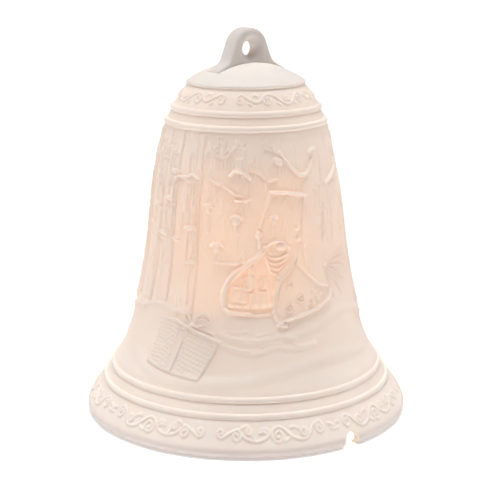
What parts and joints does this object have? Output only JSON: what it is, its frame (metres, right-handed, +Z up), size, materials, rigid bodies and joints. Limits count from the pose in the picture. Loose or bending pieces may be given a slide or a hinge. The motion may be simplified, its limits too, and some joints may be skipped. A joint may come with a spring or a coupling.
{
  "type": "bell lamp",
  "caption": "Thin white porcelain bell with a relief winter scene and a pierced lug on top, standing over a small corded lamp whose bulb lights it from inside.",
  "frame": {"origin": "centre of the footprint, on the surface the bell stands on", "axes": "+Z up along the bell's axis, +X through the cord notch and along the hole in the lug"},
  "size_m": [0.1499, 0.15, 0.1773],
  "materials": {
    "bisque_porcelain": "matte",
    "lug_porcelain": "matte",
    "ivory_plastic": "satin",
    "holder_plastic": "gloss",
    "dark_rubber": "matte",
    "zinc_steel": "satin",
    "brass": "satin",
    "steatite": "satin",
    "nickel": "polished",
    "solder": "satin",
    "vitrite": "gloss",
    "warm_glass": "polished",
    "clear_glass": "polished",
    "wire": "satin",
    "tungsten": "satin"
  },
  "bodies": {
    "lamp_base": {"base_housing": "ivory_plastic", "base_cover": "ivory_plastic", "cover_screws": "zinc_steel", "rubber_feet": "dark_rubber", "cord_bush": "dark_rubber", "cord_clamp": "ivory_plastic", "clamp_screws": "zinc_steel", "nipple": "brass", "nipple_washer": "zinc_steel", "nipple_nut": "brass", "holder_cap": "holder_plastic", "holder_skirt": "holder_plastic", "grub_screw": "zinc_steel", "contact_carrier": "steatite", "screw_shell": "brass", "centre_contact": "brass", "terminal_screws": "zinc_steel"},
    "bell": {"bell_shell": "bisque_porcelain", "hanging_lug": "lug_porcelain"},
    "bulb_tip": {"bulb_tip": "solder"},
    "bulb": {"bulb_cap": "nickel", "bulb_insulator": "vitrite", "bulb_glass": "warm_glass", "bulb_stem": "clear_glass", "lead_wires": "wire", "filament": "tungsten"}
  },
  "joints": [
    {"name": "bell_lift", "type": "slide", "parent": "lamp_base", "child": "bell", "axis": [0, 0, 1], "range_m": [0, 0.12]},
    {"name": "bulb_rise", "type": "slide", "parent": "lamp_base", "child": "bulb_tip", "axis": [0, 0, 1], "range_m": [0, 0.01412]},
    {"name": "bulb_turn", "type": "hinge", "parent": "bulb_tip", "child": "bulb", "pos_m": [0, 0, 0.05], "axis": [0, 0, 1], "range_deg": [0, 1800]}
  ],
  "couplings": [
    {"joint": "bulb_rise", "follows": "bulb_turn", "m_per_rad": 0.00044914}
  ]
}
